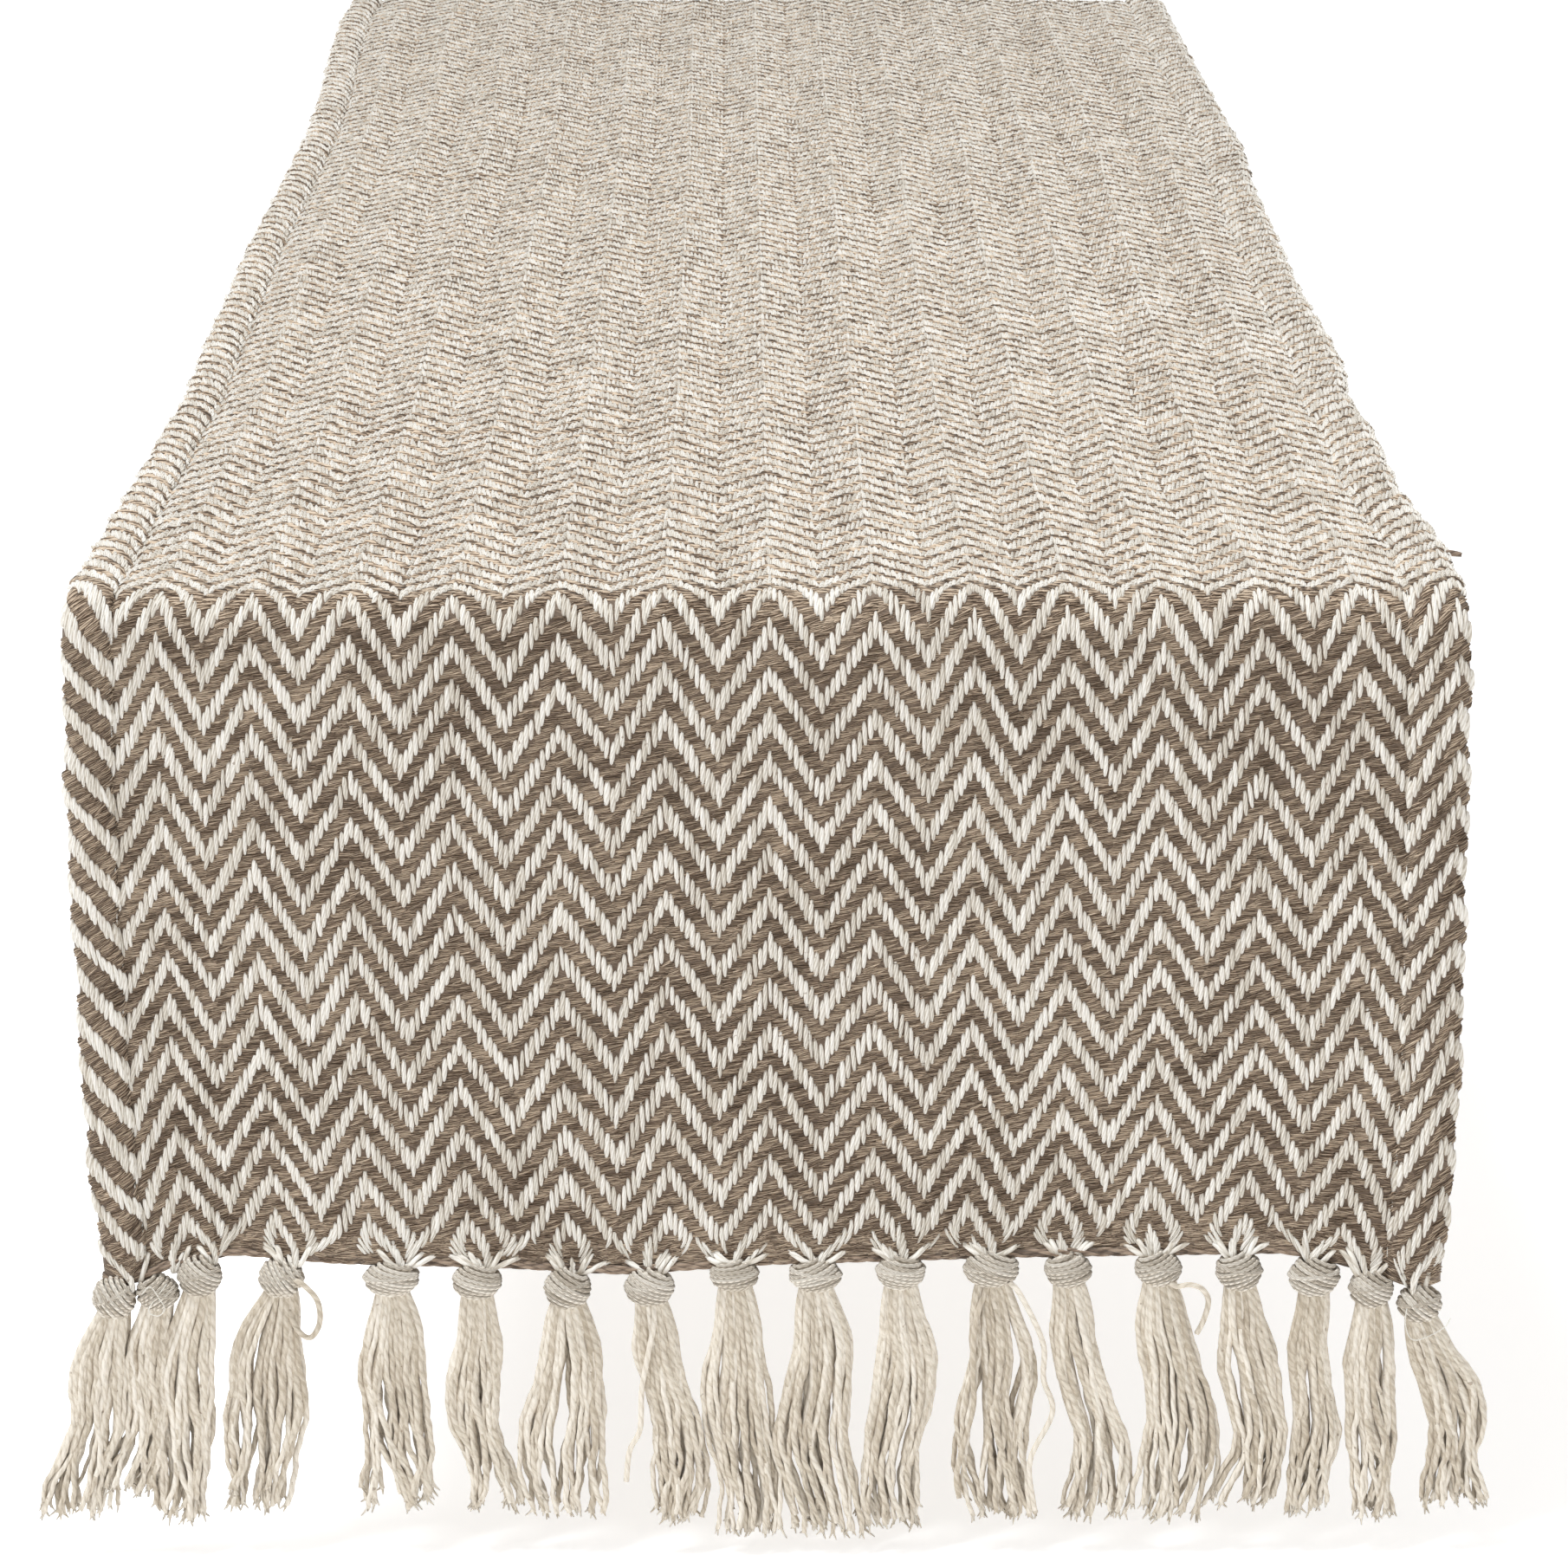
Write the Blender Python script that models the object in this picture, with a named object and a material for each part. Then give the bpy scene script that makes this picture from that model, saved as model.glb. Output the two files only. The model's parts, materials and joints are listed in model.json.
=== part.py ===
"""Table runner: a heavy chevron-twill cloth laid along a table, with its two ends hanging over the
table's edges and each end finished by a row of hand-tied tassels.

Frame: metres, +Z up, +Y along the runner, X across it. The origin is the centre of the flat underside
that rests on the table, and the front drop hangs at -Y.
"""

import math

import bmesh
import bpy
from mathutils import Vector

# Overall sizes of the cloth.
runner_width = 0.381
table_length = 1.293
drop_length = 0.191
fringe_length = 0.077

# The cloth and how it folds over the table's edge.
cloth_thickness = 0.0028
bend_radius = 0.007
bend_steps = 6
drop_gather = 0.0064

# The turned and stitched side hems.
hem_width = 0.016
hem_height = 0.0048
hem_fold_inset = 0.0011
hem_arch_steps = 8
seam_ledge = 0.0009
seam_depth = 0.0006
stitch_width = 0.0009
stitch_height = 0.0007

# The thick last weft at each end, which the tassels hang from.
heading_radius = 0.0013
heading_sides = 10

# The tassels: a neck of gathered warp, a knot and a skirt.
ends_between_knots = (9, 9, 17, 23, 18, 19, 17, 18, 17, 18, 19, 16, 19, 17, 16, 12, 10)
knot_inset = 0.0085
tassel_leans = (
    -0.0090, -0.0050, -0.0085, -0.0040, 0.0020, 0.0, 0.0, 0.0080, 0.0020,
    0.0010, 0.0, 0.0020, 0.0075, 0.0060, 0.0050, -0.0010, 0.0015, 0.0115,
)
neck_half_width = 0.0024
neck_half_depth = 0.0015
knot_half_width = 0.0056
knot_half_depth = 0.0046
knot_drop = 0.0062
knot_half_height = 0.0040
waist_half_width = 0.0034
waist_half_depth = 0.0028
skirt_half_width = 0.0105
skirt_half_depth = 0.0046
tassel_sides = 8

# A loose end of weft left out of the right hem, near the front edge.
weft_tail_length = 0.0045
weft_tail_radius = 0.0010
weft_tail_setback = 0.056
weft_tail_sides = 8

# Clearance between neighbouring solids.
gap = 0.0003

# Places worked out from the sizes above.
half_width = runner_width / 2
half_table = table_length / 2
flat_end = half_table - bend_radius
seam_line = half_width - hem_width
drop_bottom = cloth_thickness - drop_length
heading_axis = drop_bottom + heading_radius
drop_middle = half_table + cloth_thickness / 2
ledge_height = cloth_thickness - seam_depth

FRONT = -1
BACK = 1
LEFT = -1
RIGHT = 1
END_NAMES = {FRONT: "front", BACK: "back"}
SIDE_NAMES = {LEFT: "left", RIGHT: "right"}


def clear_scene():
    """Take away whatever the scene holds at the start."""
    for obj in list(bpy.data.objects):
        bpy.data.objects.remove(obj, do_unlink=True)


def finish(name, colour, roughness):
    """A plain cloth or yarn material."""
    material = bpy.data.materials.new(name)
    material.use_nodes = True
    shader = material.node_tree.nodes["Principled BSDF"]
    shader.inputs["Base Color"].default_value = (*colour, 1.0)
    shader.inputs["Roughness"].default_value = roughness
    shader.inputs["Metallic"].default_value = 0.0
    return material


def solid_from_rings(name, rings, material, parent=None):
    """One closed solid from rings of points, each ring joined to the next and the two ends capped.

    With a parent, the object takes the parent's place as its own origin.
    """
    mesh = bpy.data.meshes.new(name)
    build = bmesh.new()
    rows = [[build.verts.new(point) for point in ring] for ring in rings]
    count = len(rows[0])
    for first, second in zip(rows, rows[1:]):
        for index in range(count):
            following = (index + 1) % count
            build.faces.new((first[index], first[following], second[following], second[index]))
    build.faces.new(rows[0])
    build.faces.new(rows[-1])
    bmesh.ops.recalc_face_normals(build, faces=build.faces)
    build.to_mesh(mesh)
    build.free()
    mesh.shade_smooth()
    mesh.set_sharp_from_angle(angle=math.radians(40))
    mesh.materials.append(material)
    obj = bpy.data.objects.new(name, mesh)
    bpy.context.scene.collection.objects.link(obj)
    if parent:
        mesh.transform(parent.matrix_world.inverted())
        obj.parent = parent
    return obj


def pivot(name, end, height, distance, parent=None):
    """An empty on a joint's axis, which lies along X."""
    empty = bpy.data.objects.new(name, None)
    bpy.context.scene.collection.objects.link(empty)
    empty.location = (0.0, end * distance, height)
    if parent:
        empty.location -= parent.matrix_world.translation
        empty.parent = parent
    bpy.context.view_layer.update()
    return empty


# Stations: where a cross-section stands along the cloth. Each one is (distance out from the middle of
# the table, height of the underside, turn from flat in radians, share of the full width).


def top_stations():
    """The flat stretch, from one bend to the other."""
    reach = flat_end - gap / 2
    return [(-reach, 0.0, 0.0, 1.0), (reach, 0.0, 0.0, 1.0)]


def bend_stations():
    """A quarter turn over the table's edge, short of its neighbours by the gap."""
    trim = gap / bend_radius
    stations = []
    for step in range(bend_steps + 1):
        turn = trim + (math.pi / 2 - 2 * trim) * step / bend_steps
        distance = flat_end + bend_radius * math.sin(turn)
        stations.append((distance, bend_radius * (math.cos(turn) - 1), turn, 1.0))
    return stations


def drop_stations():
    """The hanging stretch, which is drawn in a little towards its lower end."""
    drawn_in = 1.0 - drop_gather / runner_width
    lower = heading_axis + heading_radius + gap
    return [
        (half_table, -bend_radius, math.pi / 2, 1.0),
        (half_table, lower, math.pi / 2, drawn_in),
    ]


def carried(profile, stations, end):
    """Rings of a cross-section carried along the stations; the section is (place across, height)."""
    rings = []
    for distance, level, turn, share in stations:
        rings.append([
            (
                across * share,
                end * (distance + height * math.sin(turn)),
                level + height * math.cos(turn),
            )
            for across, height in profile
        ])
    return rings


def hem_arch():
    """The hem's upper outline from the seam's ledge over to its folded edge, as (inset, height)."""
    start = hem_width - gap / 2 - seam_ledge
    points = []
    for step in range(hem_arch_steps + 1):
        turn = math.pi * step / hem_arch_steps
        inset = hem_fold_inset + (start - hem_fold_inset) * (1 + math.cos(turn)) / 2
        rise = (hem_height - ledge_height) * math.sin(turn) ** 0.7
        points.append((inset, ledge_height + rise))
    return points


def hem_profile(side):
    """Section of one turned hem: the cloth folded under, flat below and crowned above."""
    seam = hem_width - gap / 2
    outline = [(hem_fold_inset, 0.0), (seam, 0.0), (seam, ledge_height)]
    outline += hem_arch() + [(0.0, ledge_height / 2)]
    return [(side * (half_width - inset), height) for inset, height in outline]


def field_edge():
    """The field's upper outline at a seam: a ledge, and the slope up from it."""
    ledge_end = seam_line - gap / 2 - seam_ledge
    return [(ledge_end, ledge_height), (ledge_end - seam_depth, cloth_thickness)]


def field_profile():
    """Section of the cloth between the two seams."""
    reach = seam_line - gap / 2
    edge = [(reach, 0.0), (reach, ledge_height)] + field_edge()
    return edge + [(-across, height) for across, height in reversed(edge)]


def whole_profile():
    """Section of the full width with both hems in one piece, for the bends."""
    edge = [(half_width - hem_fold_inset, 0.0), (half_width, ledge_height / 2)]
    edge += [(half_width - inset, height) for inset, height in reversed(hem_arch())]
    edge += field_edge()
    return edge + [(-across, height) for across, height in reversed(edge)]


def stitch_profile(side):
    """Section of the seam's thread, lying in the valley beside the hem."""
    middle = side * seam_line
    base = ledge_height + gap
    half = stitch_width / 2
    return [
        (middle - half / 2, base),
        (middle + half / 2, base),
        (middle + half, base + stitch_height / 2),
        (middle + half / 2, base + stitch_height),
        (middle - half / 2, base + stitch_height),
        (middle - half, base + stitch_height / 2),
    ]


def stitch_stations(stations):
    """The same stations, stopped one gap short at each end."""
    (first, low, turn, share), (last, high, _, last_share) = stations
    if turn:
        return [(first, low - gap, turn, share), (last, high + gap, turn, last_share)]
    return [(first + gap, low, turn, share), (last - gap, high, turn, last_share)]


def make_cloth(prefix, stations, end, parent, cloth, thread):
    """The field, the two hems and the two seams of the top or of a drop."""
    solid_from_rings(f"{prefix}_cloth", carried(field_profile(), stations, end), cloth, parent)
    for side in (LEFT, RIGHT):
        name = f"{prefix}_{SIDE_NAMES[side]}"
        hem = carried(hem_profile(side), stations, end)
        seam = carried(stitch_profile(side), stitch_stations(stations), end)
        solid_from_rings(f"{name}_hem", hem, cloth, parent)
        solid_from_rings(f"{name}_hem_thread", seam, thread, parent)


def make_heading(end, parent, yarn):
    """The corded last weft along a drop's lower edge."""
    reach = half_width - drop_gather / 2 - heading_radius
    rings = []
    for across in (-reach, reach):
        rings.append([
            (
                across,
                end * drop_middle + heading_radius * math.cos(2 * math.pi * k / heading_sides),
                heading_axis + heading_radius * math.sin(2 * math.pi * k / heading_sides),
            )
            for k in range(heading_sides)
        ])
    solid_from_rings(f"{END_NAMES[end]}_heading_cord", rings, yarn, parent)


def knot_places():
    """Where the knots stand across the end: apart in proportion to the warp ends between them."""
    first = -half_width + knot_inset
    span = runner_width - 2 * knot_inset
    whole = sum(ends_between_knots)
    return [
        first + span * sum(ends_between_knots[:index]) / whole
        for index in range(len(ends_between_knots) + 1)
    ]


def centre_line(index, places, below):
    """Where a tassel's middle is across the end, at a distance below the heading's axis."""
    return places[index] + tassel_leans[index] * below / fringe_length


def room_beside(index, places, below):
    """Half of the distance to the nearer neighbour's middle, less the gap's own half."""
    here = centre_line(index, places, below)
    others = [i for i in (index - 1, index + 1) if 0 <= i < len(places)]
    return min(abs(centre_line(i, places, below) - here) for i in others) / 2 - gap


def tassel_sections():
    """A tassel from its neck to its tips, as (distance below the axis, half width, half depth)."""
    top = heading_radius + gap
    tip = fringe_length - heading_radius
    knot_top = knot_drop - knot_half_height
    knot_bottom = knot_drop + knot_half_height
    waist = knot_bottom + knot_half_height / 4
    return [
        (top, neck_half_width, neck_half_depth),
        (max(knot_top, top) + gap, neck_half_width * 1.5, neck_half_depth * 1.6),
        (knot_drop, knot_half_width, knot_half_depth),
        (knot_bottom, knot_half_width * 0.8, knot_half_depth * 0.8),
        (waist, waist_half_width, waist_half_depth),
        (waist + (tip - waist) * 0.25, skirt_half_width * 0.62, skirt_half_depth * 0.8),
        (waist + (tip - waist) * 0.65, skirt_half_width * 0.85, skirt_half_depth),
        (tip, skirt_half_width, skirt_half_depth * 0.8),
    ]


def make_tassel(end, index, parent, yarn):
    """One bundle of warp ends, knotted under the heading and hanging free below the knot."""
    places = knot_places()
    rings = []
    for below, half, depth in tassel_sections():
        middle = centre_line(index, places, below)
        reach = min(half, room_beside(index, places, below))
        ring = []
        for k in range(tassel_sides):
            turn = 2 * math.pi * k / tassel_sides
            across = middle + reach * math.cos(turn)
            ring.append((
                -end * across,
                end * drop_middle + depth * math.sin(turn),
                heading_axis - below,
            ))
        rings.append(ring)
    name = f"{END_NAMES[end]}_tassel_{index + 1:02d}"
    hinge = pivot(f"{name}_pivot", end, heading_axis, drop_middle, parent)
    solid_from_rings(name, rings, yarn, hinge)


def make_weft_tail(yarn):
    """The loose weft end at the right hem, a short taper that points out and a little forwards."""
    start = Vector((half_width + gap, -(half_table - weft_tail_setback), ledge_height / 2 + weft_tail_radius))
    reach = Vector((weft_tail_length, -weft_tail_length / 4, 0.0))
    rings = []
    for share, size in ((0.0, 1.0), (0.6, 0.95), (1.0, 0.45)):
        centre = start + reach * share
        rings.append([
            (
                centre.x,
                centre.y + weft_tail_radius * size * math.cos(2 * math.pi * k / weft_tail_sides),
                centre.z + weft_tail_radius * size * math.sin(2 * math.pi * k / weft_tail_sides),
            )
            for k in range(weft_tail_sides)
        ])
    solid_from_rings("right_weft_tail", rings, yarn)


def fold_pivot(end):
    """The empty that a drop turns on.

    It stands where a quarter turn carries the drop's hanging start to the end of the bend laid flat, so
    the cloth keeps its length when the drop is lifted.
    """
    middle_radius = bend_radius + cloth_thickness / 2
    quarter = math.pi * middle_radius / 4
    height = cloth_thickness / 2 - middle_radius + quarter
    return pivot(f"{END_NAMES[end]}_drop_pivot", end, height, flat_end + quarter)


def make_end(end, cloth, thread, warp, weft):
    """A bend, the drop below it, its heading cord and its row of tassels."""
    bend = carried(whole_profile(), bend_stations(), end)
    solid_from_rings(f"{END_NAMES[end]}_bend_cloth", bend, cloth)
    fold = fold_pivot(end)
    make_cloth(f"{END_NAMES[end]}_drop", drop_stations(), end, fold, cloth, thread)
    make_heading(end, fold, weft)
    for index in range(len(tassel_leans)):
        make_tassel(end, index, fold, warp)


clear_scene()
twill = finish("chevron_twill", (0.56, 0.50, 0.42), 0.9)
cream_thread = finish("cream_thread", (0.72, 0.67, 0.58), 0.85)
cream_warp = finish("cream_warp_yarn", (0.76, 0.71, 0.62), 0.9)
taupe_weft = finish("taupe_weft_yarn", (0.30, 0.23, 0.17), 0.9)
make_cloth("top", top_stations(), BACK, None, twill, cream_thread)
make_weft_tail(taupe_weft)
make_end(FRONT, twill, cream_thread, cream_warp, taupe_weft)
make_end(BACK, twill, cream_thread, cream_warp, taupe_weft)
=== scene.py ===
"""Table runner in heavy chevron twill: a taupe weft ground with cream warp floats standing on it, turned
and stitched side hems, and a row of knotted warp tassels at each hanging end."""

import json
import math

import bpy
import numpy as np
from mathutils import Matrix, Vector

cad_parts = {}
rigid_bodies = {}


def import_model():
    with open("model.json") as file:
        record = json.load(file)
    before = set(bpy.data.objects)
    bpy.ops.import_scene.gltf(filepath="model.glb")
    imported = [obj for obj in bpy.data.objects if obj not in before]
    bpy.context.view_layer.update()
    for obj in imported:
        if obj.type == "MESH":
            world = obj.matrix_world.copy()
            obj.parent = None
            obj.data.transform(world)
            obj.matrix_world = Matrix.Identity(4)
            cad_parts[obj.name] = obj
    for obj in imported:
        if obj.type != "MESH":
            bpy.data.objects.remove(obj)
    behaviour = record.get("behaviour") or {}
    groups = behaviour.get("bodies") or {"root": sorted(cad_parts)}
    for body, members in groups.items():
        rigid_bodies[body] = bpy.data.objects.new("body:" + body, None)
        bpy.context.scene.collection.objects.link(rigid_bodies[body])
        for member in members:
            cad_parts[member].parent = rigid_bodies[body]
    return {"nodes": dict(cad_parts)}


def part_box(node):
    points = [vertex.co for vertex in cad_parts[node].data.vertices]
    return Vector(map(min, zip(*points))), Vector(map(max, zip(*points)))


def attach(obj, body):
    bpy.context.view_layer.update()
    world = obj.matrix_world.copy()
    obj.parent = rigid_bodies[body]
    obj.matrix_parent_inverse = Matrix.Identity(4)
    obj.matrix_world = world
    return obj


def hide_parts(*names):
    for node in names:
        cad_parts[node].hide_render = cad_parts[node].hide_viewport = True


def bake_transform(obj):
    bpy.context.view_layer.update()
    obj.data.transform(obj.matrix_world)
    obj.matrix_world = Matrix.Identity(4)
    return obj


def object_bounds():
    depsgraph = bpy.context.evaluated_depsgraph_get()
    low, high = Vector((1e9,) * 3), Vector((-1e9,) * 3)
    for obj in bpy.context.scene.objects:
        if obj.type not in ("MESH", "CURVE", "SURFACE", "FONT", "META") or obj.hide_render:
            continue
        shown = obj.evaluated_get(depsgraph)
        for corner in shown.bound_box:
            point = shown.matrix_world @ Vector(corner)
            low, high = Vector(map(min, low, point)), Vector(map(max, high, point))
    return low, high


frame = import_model()
cad_bounds = [list(corner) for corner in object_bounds()]

# ------------------------------------------------------------
# Camera: a long lens that stands low in front of the near end and looks along the runner, a little
# downwards. Its distance is taken from the near drop and its height from the cloth's top.
# ------------------------------------------------------------
_, top_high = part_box("top_cloth")
drop_low, drop_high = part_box("front_drop_cloth")
camera_back = 1.675
camera_rise = 0.373
camera_aside = -0.008
camera_down = 14.24
camera_turn = -0.432
camera_data = bpy.data.cameras.new("camera")
camera_data.lens = 145.0
camera_data.sensor_width = 36.0
camera_data.clip_end = 50.0
camera = bpy.data.objects.new("camera", camera_data)
camera.location = (camera_aside, drop_low[1] - camera_back, top_high[2] + camera_rise)
camera.rotation_euler = (math.radians(90 - camera_down), 0.0, math.radians(camera_turn))
bpy.context.scene.collection.objects.link(camera)
bpy.context.scene.camera = camera

# ------------------------------------------------------------
# Studio: a plain white floor close under the tassels, with a little light of its own so that it stays
# pale in shade, an even white surround and one large soft key light high on the left.
# ------------------------------------------------------------
floor_drop = 0.011
floor_reach = 7.0
floor_glow = 0.46
surround_glow = 0.66
key_power = 88.0
key_width = 0.8
bpy.context.scene.view_settings.view_transform = "Standard"

floor_paint = bpy.data.materials.new("studio_floor")
floor_paint.use_nodes = True
floor_shader = floor_paint.node_tree.nodes["Principled BSDF"]
floor_shader.inputs["Base Color"].default_value = (0.93, 0.93, 0.93, 1.0)
floor_shader.inputs["Roughness"].default_value = 0.9
floor_shader.inputs["Emission Color"].default_value = (1.0, 1.0, 1.0, 1.0)
floor_shader.inputs["Emission Strength"].default_value = floor_glow
floor_level = cad_bounds[0][2] - floor_drop
floor_sides = [(-1, -1), (1, -1), (1, 1), (-1, 1)]
floor_mesh = bpy.data.meshes.new("studio_floor")
floor_corners = [(floor_reach * x, floor_reach * y, floor_level) for x, y in floor_sides]
floor_mesh.from_pydata(floor_corners, [], [(0, 1, 2, 3)])
floor_mesh.materials.append(floor_paint)
studio_floor = bpy.data.objects.new("studio_floor", floor_mesh)
bpy.context.scene.collection.objects.link(studio_floor)

surround = bpy.data.worlds.new("surround")
surround.use_nodes = True
backdrop = surround.node_tree.nodes["Background"]
backdrop.inputs["Color"].default_value = (1.0, 1.0, 1.0, 1.0)
backdrop.inputs["Strength"].default_value = surround_glow
bpy.context.scene.world = surround

key_place = np.array((-0.9, -1.1, 2.9))
key_aim = np.array((0.0, -0.4, -0.1))
key_data = bpy.data.lights.new("key_light", "AREA")
key_data.shape = "SQUARE"
key_data.size = key_width
key_data.energy = key_power
key_data.color = (0.90, 0.95, 1.0)
key_light = bpy.data.objects.new("key_light", key_data)
key_light.location = key_place
towards = key_aim - key_place
key_light.rotation_euler = (
    math.atan2(math.hypot(towards[0], towards[1]), -towards[2]),
    0.0,
    math.atan2(-towards[0], towards[1]),
)
bpy.context.scene.collection.objects.link(key_light)

# ------------------------------------------------------------
# Ground cloth: the dense body of the weave, one length draped over both table edges, its long edges
# turned under into puffed hems, the left one fuller. It is made as two sheets that meet in the middle, one
# for each end.
# ------------------------------------------------------------
hem_low, hem_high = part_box("top_right_hem")
cord_low, cord_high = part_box("front_heading_cord")
flat_end = float(top_high[1])
bend_radius = float(-drop_high[2])
cloth_thickness = float(top_high[2])
half_width = float(hem_high[0])
middle_radius = bend_radius + cloth_thickness / 2
bend_length = middle_radius * math.pi / 2
edge_level = float(cord_low[2])
heading_overlap = 0.0008
drop_reach = -bend_radius - edge_level - heading_overlap
cloth_end = flat_end + bend_length + drop_reach

# The chevrons' widths in millimetres from left to right, two slopes each, between the two hems' seams.
chevron_widths = (24.6, 25.8, 27.4, 28.4, 29.1, 28.9, 28.1, 29.1, 24.8, 26.0, 25.5, 28.2, 26.9)
ends_per_chevron = 20
right_seam = float(hem_low[0])
valleys = right_seam - (sum(chevron_widths) - np.cumsum((0.0,) + chevron_widths)) / 1000
left_seam = float(valleys[0])
field_ends = ends_per_chevron * len(chevron_widths)
end_pitch = (right_seam - left_seam) / field_ends
pick_pitch = 0.0127 / 6
weft_level = 0.0018
under_level = 0.0002
fold_level = 0.0006


def smooth(value):
    """Eases from 0 to 1 with no corner at either end: 3 s squared less 2 s cubed."""
    held = np.clip(value, 0.0, 1.0)
    return held * held * (3 - 2 * held)


def slow_line(places, values, at):
    """Straight lines between chosen values, rounded by averaging over a short moving window."""
    fine = np.linspace(places[0], places[-1], 601)
    window = np.hanning(17)
    line = np.pad(np.interp(fine, places, values), 8, mode="edge")
    return np.interp(at, fine, np.convolve(line, window / window.sum(), "valid"))


def hem_outline(width, crown, dip):
    """A hem's upper surface from its seam round to the fold: half a cosine across, and in height a power
    of a sine on a slope from seam to fold, with the share of the run at each point."""
    turn = np.linspace(0.0, np.pi, 240)
    across = width * (1 - np.cos(turn)) / 2
    height = weft_level - dip + (fold_level - weft_level + dip) * turn / np.pi + crown * np.sin(turn) ** 0.8
    run = np.concatenate(([0.0], np.cumsum(np.hypot(np.diff(across), np.diff(height)))))
    return run / run[-1], across, height, float(run[-1])


left_hem = hem_outline(half_width + left_seam, 0.0034, 0.0012)
right_hem = hem_outline(half_width - right_seam, 0.0026, 0.0005)
cloth_sides = ((-1, -left_seam, left_hem), (1, right_seam, right_hem))


def section(u):
    """Where the weft surface is at u across the flat cloth: x, height, and the surface's normal. Level in
    the field with a round-bottomed dip beside each seam, then round the hem's outline."""
    x, height = np.array(u, float), np.full(np.shape(u), weft_level)
    normal_x, normal_h = np.zeros(np.shape(u)), np.ones(np.shape(u))
    for side, seam, (share, across, level, length) in cloth_sides:
        beyond = side * u - seam
        height = height - (weft_level - level[0]) * np.exp(-((beyond / 0.0014) ** 2))
        run = np.clip(beyond / length, 0.0, 1.0)
        slope_x, slope_h = np.gradient(across, share), np.gradient(level, share)
        steep = np.hypot(slope_x, slope_h)
        on_hem = beyond > 0
        x = np.where(on_hem, side * (seam + np.interp(run, share, across)), x)
        height = np.where(on_hem, np.interp(run, share, level), height)
        normal_x = np.where(on_hem, -side * np.interp(run, share, slope_h / steep), normal_x)
        normal_h = np.where(on_hem, np.interp(run, share, slope_x / steep), normal_h)
    return x, height, normal_x, normal_h


# How far each long edge lies inside the cloth's widest line, along the cloth from its near end to its far
# end, in millimetres: it was never pressed straight, and it draws in towards each fringe.
left_places = (
    -0.833, -0.807, -0.783, -0.747, -0.723, -0.675, -0.645, -0.609, -0.551, -0.493, -0.454, -0.402, -0.366,
    -0.258, -0.177, -0.079, 0.002, 0.103, 0.207, 0.301, 0.447, 0.572, 0.632, 0.700, 0.833,
)
left_in = (
    5.6, 2.6, 0.9, 0.2, -1.0, -1.2, -0.6, 1.3, 2.6, 4.4, 5.4, 5.8, 7.6,
    6.4, 7.0, 6.4, 7.1, 8.3, 9.2, 7.9, 3.6, 1.6, 4.0, 0.0, 5.0,
)
right_places = (
    -0.833, -0.819, -0.795, -0.771, -0.700, -0.660, -0.645, -0.609, -0.585, -0.503, -0.413, -0.363, -0.304,
    -0.155, -0.048, 0.077, 0.176, 0.238, 0.439, 0.632, 0.700, 0.833,
)
right_in = (
    1.6, 1.6, -1.1, -1.5, -1.5, -1.3, -0.2, -0.4, -1.0, 3.8, 2.8, 5.6, 1.6,
    3.0, 1.6, 0.9, -3.0, -2.0, -0.6, -1.2, 0.0, 6.0,
)

# How far the lower edge hangs below a straight line, along the near end from left to right, in
# millimetres: both corners, where the hem is double, hang low, and the middle sags a little.
sag_places = (-0.190, -0.178, -0.1666, -0.149, -0.120, -0.075, -0.040, 0.0, 0.070, 0.144, 0.162, 0.180, 0.190)
sag_depths = (3.0, 5.8, 0.4, -3.3, -0.6, 0.7, 2.8, 0.0, -2.0, -3.0, 0.8, 7.0, 6.0)


def drape(x, v, h):
    """The whole cloth's shape: flat on the table, a quarter circle over each edge, then straight down.

    Before it is bent its sides are drawn in by the two tables above, and it lies in low, slow ripples."""
    end = np.where(v < 0, -1.0, 1.0)
    down = np.clip(np.abs(v) - flat_end - bend_length, 0.0, None)
    drawn = np.where(x < 0, slow_line(left_places, left_in, v), slow_line(right_places, right_in, v)) / 1000
    rim = (np.abs(x) / half_width) ** 6
    edge_wave = 0.0004 * np.sin(v * 171 + 2 * np.sign(x)) + 0.0003 * np.sin(v * 290 + np.sign(x))
    x = x * (1 - drawn / half_width) + edge_wave * rim
    ripple = 0.00035 * (2 + np.sin(x * 26 + v * 9) + np.sin(x * 11 - v * 17 + 1))
    wave = 0.0009 * np.sin(x * 47 + 0.6) + 0.0005 * np.sin(x * 103 + 2.2)
    h = h + ripple * (1 - np.clip(down / 0.02, 0, 1)) + wave * smooth(down / drop_reach)
    sag = slow_line(sag_places, sag_depths, -end * x) / 1000 * smooth((down / drop_reach - 0.55) / 0.45)
    turn = np.clip((np.abs(v) - flat_end) / middle_radius, 0.0, np.pi / 2)
    y = end * (np.minimum(np.abs(v), flat_end) + (bend_radius + h) * np.sin(turn))
    z = (bend_radius + h) * np.cos(turn) - bend_radius - down - sag
    return np.stack((x, y, z), axis=-1)


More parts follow.
